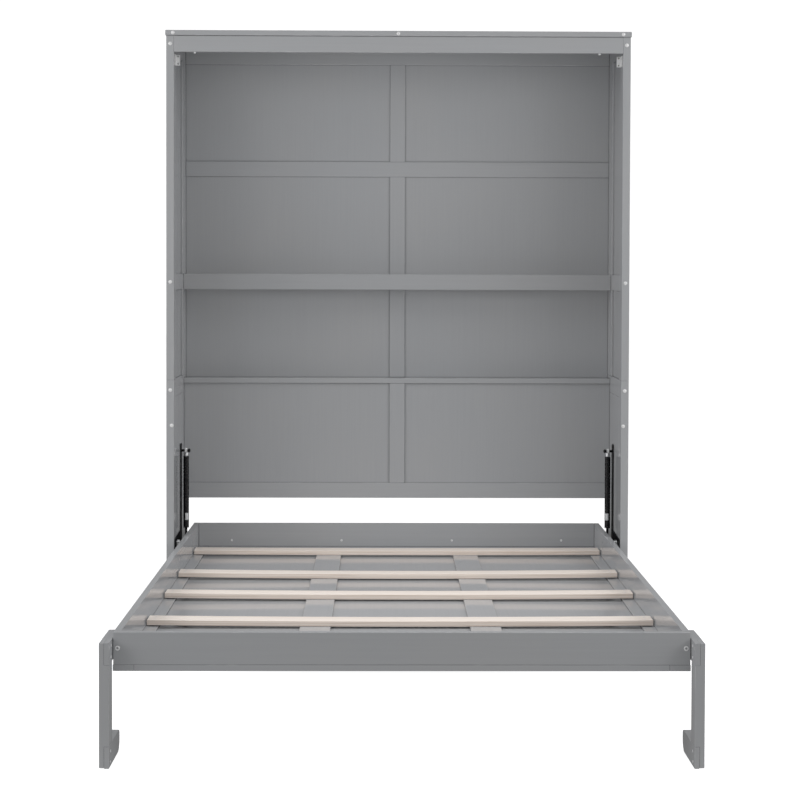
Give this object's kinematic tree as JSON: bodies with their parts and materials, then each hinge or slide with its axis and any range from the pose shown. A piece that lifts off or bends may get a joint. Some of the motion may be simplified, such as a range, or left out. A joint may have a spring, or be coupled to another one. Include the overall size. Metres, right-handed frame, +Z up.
{
  "type": "wall bed",
  "caption": "Painted wooden wall cabinet with a queen bed that folds down out of it on side pivots, helped by gas struts and standing on swinging legs.",
  "frame": {"origin": "on the floor, at the middle of the object's width and depth with the bed open", "axes": "+X to the right as seen from the foot of the open bed, +Y back towards the wall, +Z up; the foot of the open bed faces -Y"},
  "size_m": [1.717, 2.2266, 2.226],
  "materials": {
    "frame_paint": "satin grey paint on wooden rails, stiles and boards",
    "panel_paint": "satin grey paint on sheet panels",
    "slat_wood": "bare pale plywood slat",
    "black_steel": "black coated steel",
    "zinc": "bright zinc plate"
  },
  "bodies": {
    "cabinet": {"top_board": "frame_paint", "top_front_rail": "frame_paint", "back_top_rail": "frame_paint", "back_upper_rail": "frame_paint", "back_top_centre_stile": "frame_paint", "back_middle_centre_stile": "frame_paint", "back_lower_centre_stile": "frame_paint", "back_bottom_rail": "frame_paint", "back_seam_batten": "frame_paint", "upper_back_panel": "panel_paint", "lower_back_panel": "panel_paint", "cross_rail": "frame_paint", "base_rear_rail": "frame_paint", "left_upper_front_stile": "frame_paint", "left_upper_back_stile": "frame_paint", "left_upper_side_panel": "panel_paint", "left_lower_front_stile": "frame_paint", "left_seam_rail": "frame_paint", "left_lower_side_panel": "panel_paint", "left_cabinet_plate": "black_steel", "left_main_pivot_bolt": "zinc", "left_catch_bracket": "zinc", "right_upper_front_stile": "frame_paint", "right_upper_back_stile": "frame_paint", "right_upper_side_panel": "panel_paint", "right_lower_front_stile": "frame_paint", "right_seam_rail": "frame_paint", "right_lower_side_panel": "panel_paint", "right_cabinet_plate": "black_steel", "right_main_pivot_bolt": "zinc", "right_catch_bracket": "zinc"},
    "bed": {"head_rail": "frame_paint", "foot_rail": "frame_paint", "left_side_rail": "frame_paint", "right_side_rail": "frame_paint", "left_frame_stile": "frame_paint", "right_frame_stile": "frame_paint", "left_middle_stile": "frame_paint", "right_middle_stile": "frame_paint", "foot_cross_rail": "frame_paint", "head_cross_rail": "frame_paint", "bed_panel": "panel_paint", "slat_1": "slat_wood", "slat_2": "slat_wood", "slat_3": "slat_wood", "slat_4": "slat_wood", "left_bed_plate": "black_steel", "right_bed_plate": "black_steel", "left_leg_bolt": "zinc", "right_leg_bolt": "zinc"},
    "left_leg": {"left_leg_post": "frame_paint", "left_leg_arm": "frame_paint", "left_leg_foot": "frame_paint"},
    "right_leg": {"right_leg_post": "frame_paint", "right_leg_arm": "frame_paint", "right_leg_foot": "frame_paint"},
    "left_strut_body": {"left_strut_tube": "black_steel"},
    "right_strut_body": {"right_strut_tube": "black_steel"},
    "left_strut_piston": {"left_strut_rod": "black_steel"},
    "right_strut_piston": {"right_strut_rod": "black_steel"}
  },
  "joints": [
    {"name": "bed_fold", "type": "hinge", "parent": "cabinet", "child": "bed", "pos_m": [0, 0.76525, 0.324], "axis": [-1, 0, 0], "range_deg": [0, 90]},
    {"name": "left_leg_swing", "type": "hinge", "parent": "bed", "child": "left_leg", "pos_m": [-0.805, -0.97875, 0.31], "axis": [1, 0, 0], "range_deg": [0, 90]},
    {"name": "right_leg_swing", "type": "hinge", "parent": "bed", "child": "right_leg", "pos_m": [0.805, -0.97875, 0.31], "axis": [1, 0, 0], "range_deg": [0, 90]},
    {"name": "left_strut_pivot", "type": "hinge", "parent": "cabinet", "child": "left_strut_body", "pos_m": [-0.806, 0.91175, 0.655], "axis": [-1, 0, 0], "range_deg": [0, 18.6]},
    {"name": "right_strut_pivot", "type": "hinge", "parent": "cabinet", "child": "right_strut_body", "pos_m": [0.806, 0.91175, 0.655], "axis": [-1, 0, 0], "range_deg": [0, 18.6]},
    {"name": "left_strut_slide", "type": "slide", "parent": "left_strut_body", "child": "left_strut_piston", "axis": [0, 0, -1], "range_m": [0, 0.1588]},
    {"name": "right_strut_slide", "type": "slide", "parent": "right_strut_body", "child": "right_strut_piston", "axis": [0, 0, -1], "range_m": [0, 0.1588]}
  ],
  "couplings": [
    {"joint": "left_leg_swing", "follows": "bed_fold", "ratio": 1},
    {"joint": "right_leg_swing", "follows": "bed_fold", "ratio": 1},
    {"joint": "left_strut_pivot", "follows": "bed_fold", "ratio": 0.20644},
    {"joint": "right_strut_pivot", "follows": "bed_fold", "ratio": 0.20644},
    {"joint": "left_strut_slide", "follows": "bed_fold", "m_per_rad": 0.10106},
    {"joint": "right_strut_slide", "follows": "bed_fold", "m_per_rad": 0.10106}
  ]
}
